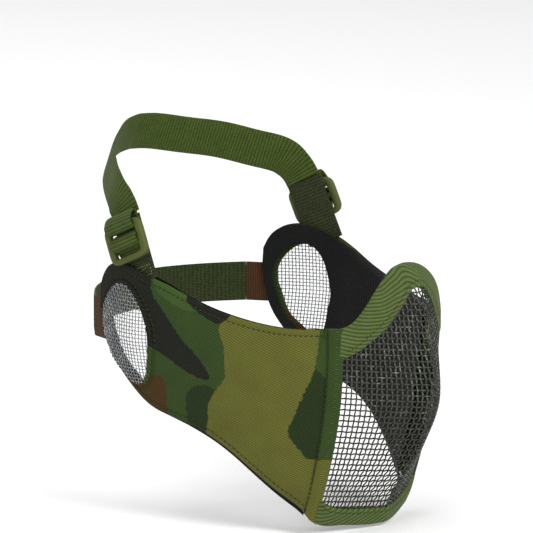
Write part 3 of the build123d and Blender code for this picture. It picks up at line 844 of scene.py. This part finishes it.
def between_tapes(x, z):
    """True where the wire is in the open or just under a tape."""
    ax = np.abs(x)
    return (z < crest(ax) - UNDER_TAPE) & (z > chin_foot(np.minimum(ax, 40.5)) + UNDER_TAPE)


def weave(name, rows, columns):
    """Joins two families of wires in one object, rows first."""
    parts = [tubes(name, *rows), tubes(name + "_columns", *columns)]
    bpy.ops.object.select_all(action="DESELECT")
    for part in parts:
        part.select_set(True)
    bpy.context.view_layer.objects.active = parts[0]
    bpy.ops.object.join()
    return parts[0]


row = np.arange(-34, 14)[:, None]
s = np.linspace(-1, 1, int(COLUMNS * 8) + 1)[None]
z = row * PITCH - tilt(s)
x = guard_x(s, z)
lift = WIRE * np.cos(np.pi * s * COLUMNS) * (-1.0) ** row
rows = (on_guard(x, z, lift), guard_out(x, z), WIRE, WIRE, 6, between_tapes(x, z))
column = np.arange(-19, 20)[:, None]
z = np.linspace(-93, 36, 188)[None] + 0.0 * column
s = column / COLUMNS + 0 * z
x = guard_x(s, z)
lift = -WIRE * np.cos(np.pi * (z + tilt(s)) / PITCH) * (-1.0) ** column
columns = (on_guard(x, z, lift), guard_out(x, z), WIRE, WIRE, 6, between_tapes(x, z))
mouth_wire = weave("mouth_wire", rows, columns)
mouth_wire.data.materials.append(guard_paint)
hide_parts("front_mesh")
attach(mouth_wire, "front")
print("mouth wire", len(mouth_wire.data.polygons), "faces")

# %% [markdown]
# ## The ear guards' finer wire
# Over each ear sits a shallow dome of finer wire, so that sound gets in. It is the same plain
# weave on the side surface, raised by a low bowl, and its pitch is 1.75 mm.
# The wires stop under the rolled edge, so no cut end shows.

# %% Ear guard wire
def ear_lift(y, z):
    """The guard bulges over the ear: 4 max(0, 1 - ((y-12)/24)^2 - (z/34)^2) - .5."""
    return 4 * np.maximum(0, 1 - ((y - EAR_Y) / 24) ** 2 - (z / 34) ** 2) - 0.5


def in_leaf(y, z):
    """True inside the leaf outline, with a little to spare under the rolled edge."""
    return np.hypot(y - EAR_Y, z) < ear_radius(np.arctan2(z, y - EAR_Y)) + 0.5


EAR_PITCH, EAR_WIRE = 1.75, 0.25
for side in SIDES:
    families = []
    for turned in (False, True):
        line = (np.arange(-4, 18) if turned else np.arange(-15, 16))[:, None]
        run = (np.linspace(-26, 27, 125) if turned else np.linspace(-7, 31, 90))[None]
        along, across = run + 0.0 * line, line * EAR_PITCH + 0 * run
        y, z = (across, along) if turned else (along, across)
        wave = EAR_WIRE * np.cos(np.pi * run / EAR_PITCH) * (-1.0) ** line * (-1 if turned else 1)
        path = handed(on_side(y, z, ear_lift(y, z) + wave), side)
        out = handed(side_out(y, z), side)
        families.append((path, out, EAR_WIRE, EAR_WIRE, 5, in_leaf(y, z)))
    ear_wire = weave(f"{side}_ear_wire", *families)
    ear_wire.data.materials.append(bare_steel)
    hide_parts(f"{side}_ear_mesh")
    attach(ear_wire, f"{side}_side")

# %% [markdown]
# ## The rolled edge round each ear guard
# The cloth is turned over a cord and sewn to the wire, which gives a round edge of the same print.

# %% Ear rolls
turn = np.linspace(0, 2 * np.pi, 160, endpoint=False)
reach = ear_radius(np.where(turn > np.pi, turn - 2 * np.pi, turn)) + 0.5
roll_y, roll_z = EAR_Y + reach * np.cos(turn), reach * np.sin(turn)
for side in SIDES:
    path = handed(on_side(roll_y, roll_z, 0.15 + 0 * turn), side)[None]
    out = handed(side_out(roll_y, roll_z), side)[None]
    fields = {k: v[None] for k, v in print_fields(side, roll_y, roll_z).items()}
    roll = tubes(f"{side}_ear_roll", path, out, 1.35, 1.1, 10, closed=True, fields=fields)
    roll.data.materials.append(camo_twill)
    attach(roll, f"{side}_side")

# %% [markdown]
# ## Binding tapes on the guard
# A ribbed tape is folded over the wire along the nose and along the chin.
# It hugs the wire at its open edges and is round over the fold, so its thickness is a formula of v.

# %% Nose and chin tapes
def tape(name, foot, fold, reach, node):
    """Closed tape between z = foot(|x|) and fold(|x|): half thickness
    (.95 + .95 step(v)) sqrt(1 - ((v - .75)/.25)^2.2), v = 1 at the fold, less a sewn groove at
    v = .2."""
    x, v = np.meshgrid(np.linspace(-reach, reach, 201), np.linspace(0, 1, 25), indexing="ij")
    ax = np.abs(x)
    z = foot(ax) * (1 - v) + fold(ax) * v
    rounding = np.sqrt(np.maximum(0.003, 1 - np.clip((v - 0.75) / 0.25, 0, 1) ** 2.2))
    thick = (0.95 + 0.95 * step(v, 0, 0.16)) * rounding
    thick = thick - 0.3 * np.exp(-((v - 0.2) / 0.05) ** 2)
    strides = np.diff(on_guard(x, z), axis=0, prepend=on_guard(x[:1], z[:1]))
    along = np.cumsum(np.linalg.norm(strides, axis=-1), 0)
    uv = np.stack([along, v * np.abs(fold(ax) - foot(ax))], -1)
    piece = shell(name, on_guard(x, z, thick), on_guard(x, z, -thick), uv)
    piece.data.materials.append(binding_tape)
    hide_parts(node)
    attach(piece, "front")


tape("nose_tape", tape_foot, crest, 41.0, "nose_trim")
tape("chin_tape", chin_top, chin_foot, 39.5, "chin_trim")

# %% [markdown]
# ## Straps
# The webbing runs from each panel through its slide and round the head. A strap is a closed shell
# along a smooth path: its width lies across the path and its face looks the way each station says.

# %% Strap builder and slide axes
SLIDE = np.array([-77.54, 9.17, 46.85])
SLIDE_X = np.array((-0.144, -0.910, 0.391))
SLIDE_Y = np.array((0.061, 0.386, 0.9205))
SLIDE_Z = np.array((-0.988, 0.156, 0.0))
STRAP_WIDE, STRAP_THICK = 20, 1.2


def in_slide(x, y, z):
    """Slide axes to the shared frame: centre + x X + y Y + z Z, Y up the webbing and Z outward."""
    x, y, z = (np.asarray(v, float)[..., None] for v in np.broadcast_arrays(x, y, z))
    return SLIDE + x * SLIDE_X + y * SLIDE_Y + z * SLIDE_Z


def strap(name, stations, outs, width, thick, count=80, side="right"):
    """The centre line C is a spline over the chord length, and its face way N turns evenly from
    station to station. The section is C + (w/2) v (N x C') +- (t/2)(1 - .45 v^10) N, less a
    shallow line of thread near each edge."""
    stations, outs = np.asarray(stations, float), np.asarray(outs, float)
    chord = np.concatenate([[0], np.cumsum(np.linalg.norm(np.diff(stations, axis=0), axis=1))])
    t = np.linspace(0, chord[-1], count)
    centre = np.stack([spline(chord, stations[:, i])(t) for i in range(3)], -1)
    face = np.stack([np.interp(t, chord, outs[:, i]) for i in range(3)], -1)
    along = unit(np.gradient(centre, axis=0))
    face = unit(face - along * (face * along).sum(-1, keepdims=True))
    v = np.linspace(-1, 1, 15)
    spread = centre[:, None] + width / 2 * v[None, :, None] * np.cross(face, along)[:, None]
    depth = thick / 2 * (1 - 0.45 * v ** 10) - 0.1 * np.exp(-((np.abs(v) - 0.82) / 0.05) ** 2)
    half = depth[None, :, None] * face[:, None]
    uv = np.stack(np.broadcast_arrays(t[:, None], width / 2 * v[None]), -1)
    return shell(name, handed(spread + half, side), handed(spread - half, side), uv, sharp=60)


print("slide axes", SLIDE)

# %% [markdown]
# ## Webbing at the slide
# A short webbing is sewn into the panel's top edge. It goes up behind the slide, over the middle
# bar and back down, and the head strap's end is rolled over the top bar.
# The bend and the loop go with the slide when it moves, and the anchor stays with the panel.

# %% Anchor, bend and loop
def turn_path(name, side, points, width, thick, count):
    """A strap bent in the slide's side view: points are (up, out), and its face looks away from
    the bend."""
    points = np.asarray(points, float)
    way = np.gradient(points, axis=0)
    outs = way[:, 1:] * -SLIDE_Y + way[:, :1] * SLIDE_Z
    path = in_slide(0, points[:, 0], points[:, 1])
    return strap(name, path, unit(outs), width, thick, count, side)


TOP_BAR, LOOP_ROUND = 8.4, 3.1  # the height of the outer bars, and the loop's radius over one
circle = [q for q in np.radians(np.arange(-150, 151, 20.0)) if abs(q) < 2.3]
loop_points = ([(13.4, -2.0), (12.0, -2.6)]
               + [(TOP_BAR - LOOP_ROUND * math.cos(q), LOOP_ROUND * math.sin(q)) for q in circle]
               + [(12.3, 1.2), (13.8, -0.9)])
bend_points = [(-9.5, -3.0), (-6, -2.6), (-3.6, -0.9), (-2.6, 1.0), (-1.4, 2.35), (0, 2.75),
               (1.4, 2.35), (2.6, 1.0), (3.4, -0.9), (4.2, -2.2)]
for side in SIDES:
    low, high = in_slide(0, -21.6, -3.9), in_slide(0, 11.5, -3.9)
    anchor = strap(f"{side}_anchor", [low, (low + high) / 2, high], [SLIDE_Z] * 3,
                   STRAP_WIDE, STRAP_THICK, 40, side)
    # the anchor takes the darker webbing, which is painted shade
    anchor.data.materials.append(shaded_anchor_webbing)
    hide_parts(f"{side}_anchor_webbing")
    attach(anchor, f"{side}_side")
    for label, points, node in (("bend", bend_points, "webbing_bend"),
                                ("loop", loop_points, "strap_loop")):
        piece = turn_path(f"{side}_{label}", side, points, STRAP_WIDE, STRAP_THICK, 60)
        piece.data.materials.append(strap_webbing)
        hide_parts(f"{side}_{node}")
        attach(piece, f"{side}_slide")

# %% [markdown]
# ## The three-bar slides
# A slide is one moulding: a rounded oblong ring with a bar across its middle.
# The ring is a tube along a superellipse, |x/11.7|^7 + |y/8.4|^7 = 1, with a section that is
# nearly square, and its side rails are a little broader than its bars. A bevelled box with holes
# cut in it would also do, but the carried section keeps every edge evenly round.

# %% Slides
RAIL_X = 11.7  # half the ring's width between the rails' middles; TOP_BAR is half its height
BAR_WIDE = 1.6
q = np.linspace(0, 2 * np.pi, 120, endpoint=False)
ring_x, ring_y = (far * np.sign(f) * np.abs(f) ** (2 / 7)
                  for far, f in ((RAIL_X, np.cos(q)), (TOP_BAR, np.sin(q))))
rail = BAR_WIDE + 0.4 * np.abs(np.cos(q))[None] ** 6
for side in SIDES:
    ring_path = handed(in_slide(ring_x, ring_y, 0), side)[None]
    ring_up = handed(np.broadcast_to(SLIDE_Z, ring_path.shape), side)
    frame_ring = tubes(f"{side}_slide_frame", ring_path, ring_up, rail, 1.75, 16, closed=True,
                       power=3.2)
    bar_path = handed(in_slide(np.linspace(-11.4, 11.4, 12), 0, 0), side)[None]
    bar_up = handed(np.broadcast_to(SLIDE_Z, bar_path.shape), side)
    bar = tubes(f"{side}_slide_bar", bar_path, bar_up, BAR_WIDE, 1.55, 16, power=3.5)
    for piece in (frame_ring, bar):
        piece.data.materials.append(slide_plastic)
        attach(piece, f"{side}_slide")
    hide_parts(f"{side}_slide")

# %% [markdown]
# ## Head strap and neck band
# The head strap rises from each slide and meets its other half high at the back of the head.
# A short brown tab behind each ear guard carries the elastic band that goes round the neck.
# Each half is one strap along a spline through a few stations, with its face turned to match.
# The head strap and the neck band are baked in place as they are; only each tab goes with its
# side panel.

# %% Head straps, tabs and neck bands
HEAD = [in_slide(0, 12.2, -4.4), in_slide(-0.6, 17, -4.45), in_slide(-1.9, 21, -4.7),
        (-70, 21.5, 68.5), (-61, 32, 73.5), (-46, 45.5, 79), (-27, 57, 83), (-10, 64, 86.3),
        (-0.05, 65.5, 87)]
HEAD_OUT = [SLIDE_Z, SLIDE_Z, SLIDE_Z, (-0.9, 0.42, 0.12), (-0.8, 0.55, 0.2), (-0.62, 0.73, 0.28),
            (-0.38, 0.86, 0.34), (-0.14, 0.92, 0.37), (0, 0.93, 0.37)]
TAB_FROM = np.array([-66.35, 30.4, 4])
TAB_WAY, TAB_OUT = np.array([0.385, 0.923, 0]), np.array([-0.923, 0.385, 0])
TAB_THICK = 1.4  # of the tab and of the elastic
NECK = [TAB_FROM + 12.3 * TAB_WAY, (-50, 51.5, 4), (-35, 61, 4), (-16, 68, 4), (-0.05, 70, 4)]
NECK_OUT = [TAB_OUT, (-0.66, 0.75, 0), (-0.45, 0.89, 0), (-0.2, 0.98, 0), (0, 1, 0)]
for side in SIDES:
    head = strap(f"{side}_head_webbing", HEAD, HEAD_OUT, STRAP_WIDE, STRAP_THICK, 160, side)
    head.data.materials.append(strap_webbing)
    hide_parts(f"{side}_head_strap")
    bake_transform(head)
    tab = strap(f"{side}_tab", [TAB_FROM + far * TAB_WAY for far in (0, 6, 12)], [TAB_OUT] * 3,
                STRAP_WIDE, TAB_THICK, 24, side)
    tab.data.materials.append(tab_cloth)
    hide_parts(f"{side}_neck_tab")
    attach(tab, f"{side}_side")
    neck = strap(f"{side}_neck_elastic", NECK, NECK_OUT, STRAP_WIDE, TAB_THICK, 110, side)
    neck.data.materials.append(band_elastic)
    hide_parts(f"{side}_neck_band")
    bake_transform(neck)

# %% [markdown]
# ## Stitches
# Rows of short raised stitches hold the edges, the hems, the ear rolls and the tapes.
# Each stitch is a small closed tube of seventeen faces, laid along the row at its real spacing.

# %% Stitch rows
def stitches(name, path, ups, side="right", pitch=2.6, size=0.24, thread=None):
    """One stitch each pitch along the path: four rings over .62 pitch, sunk at both ends."""
    run = np.concatenate([[0], np.cumsum(np.linalg.norm(np.diff(path, axis=0), axis=1))])
    middle = np.arange(pitch, run[-1] - pitch / 2, pitch)
    at = middle[:, None] + np.array([-0.31, -0.2, 0.2, 0.31]) * pitch
    line = np.stack([np.interp(at, run, path[:, i]) for i in range(3)], -1)
    up = unit(np.stack([np.interp(at, run, ups[:, i]) for i in range(3)], -1))
    line = line + up * np.array([-0.12, 0.14, 0.14, -0.12])[None, :, None]
    thick = np.array([0.4, 1, 1, 0.4]) * size
    row = tubes(name, handed(line, side), handed(up, side), thick, thick, 5, sharp=180)
    row.data.materials.append(thread or thread_finish)
    return row


t = np.linspace(0.04, 0.99, 200)
length = np.hypot(top_y(t) - jaw_y(t), top_z(t) - jaw_z(t))
for side in SIDES:
    for label, share in (("top", 1 - ROW_IN / length), ("jaw", ROW_IN / length)):
        y, z = panel(t, share)
        row = stitches(f"{side}_{label}_stitches", on_side(y, z, -0.18), side_out(y, z), side)
        fold_with(row)
    z = np.linspace(-86, 7, 120)
    line, _ = seam_strip(np.full(120, GROOVE), z, np.full(120, 0.72))
    fold_with(stitches(f"{side}_hem_stitches", line, side_out(seam_at(z)[1] + 4.1, z), side))
    round_y, round_z = EAR_Y + (reach + 2.9) * np.cos(turn), (reach + 2.9) * np.sin(turn)
    line, out = on_side(round_y, round_z, -0.12), side_out(round_y, round_z)
    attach(stitches(f"{side}_ear_stitches", line, out, side), f"{side}_side")
    box = np.array([(-8, -19), (8, -19), (8, -14), (-8, -14), (-8, -19), (8, -14)], float)
    box = np.concatenate([np.linspace(p, q, 14) for p, q in zip(box[:-1], box[1:])])
    line, out = in_slide(box[:, 0], box[:, 1], -3.25), np.tile(SLIDE_Z, (len(box), 1))
    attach(stitches(f"{side}_anchor_stitches", line, out, side, 1.9, thread=box_thread),
            f"{side}_side")
x = np.linspace(-39, 39, 160)
for label, foot, fold in (("nose", tape_foot, crest), ("chin", chin_top, chin_foot)):
    z = foot(np.abs(x)) * 0.8 + fold(np.abs(x)) * 0.2
    row = stitches(f"{label}_tape_stitches", on_guard(x, z, 1.62), guard_out(x, z), pitch=2.2,
                   size=0.2)
    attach(row, "front")

# %% [markdown]
# ## Floor and light
# A wide pale floor and three soft lamps keep the colours plain, as on a product table.

# %% Floor, lamps and sky
low = cad_box[0].z - 0.0006
floor_mesh = bpy.data.meshes.new("floor")
corners = [(-30, -30, low), (30, -30, low), (30, 30, low), (-30, 30, low)]
floor_mesh.from_pydata(corners, [], [(0, 1, 2, 3)])
floor = bpy.data.objects.new("floor", floor_mesh)
bpy.context.scene.collection.objects.link(floor)
tree = start("pale_floor")
place = add(tree, "ShaderNodeTexCoord", out=3)
paper = mix(tree, noise(tree, place, 0.5), hexed("f4f4f4"), hexed("f8f8f8"))
grain = noise(tree, place, 0.01)
floor_mesh.materials.append(finish("pale_floor", paper, 0.9, grain, 0.0001, 0.05))


MASK_MIDDLE = Vector((0, -0.03, 0))


def lamp(name, place, size, power):
    """A square soft lamp that looks at the mask."""
    data = bpy.data.lights.new(name, "AREA")
    data.size, data.energy = size, power
    light = bpy.data.objects.new(name, data)
    light.location = place
    way = MASK_MIDDLE - light.location
    light.rotation_euler = way.to_track_quat("-Z", "Y").to_euler()
    bpy.context.scene.collection.objects.link(light)


lamp("key", (-0.4, -2.0, 1.5), 0.9, 42)
lamp("fill", (-1.9, -0.4, 0.9), 1.2, 10)
lamp("back", (0.6, 1.6, 1.6), 1.0, 14)
world = bpy.data.worlds.new("sky")
world.use_nodes = True
world.node_tree.nodes["Background"].inputs[0].default_value = (1, 1, 1, 1)
world.node_tree.nodes["Background"].inputs[1].default_value = 0.7
bpy.context.scene.world = world
bpy.context.scene.view_settings.view_transform = "Standard"
print("floor at", round(low, 4))
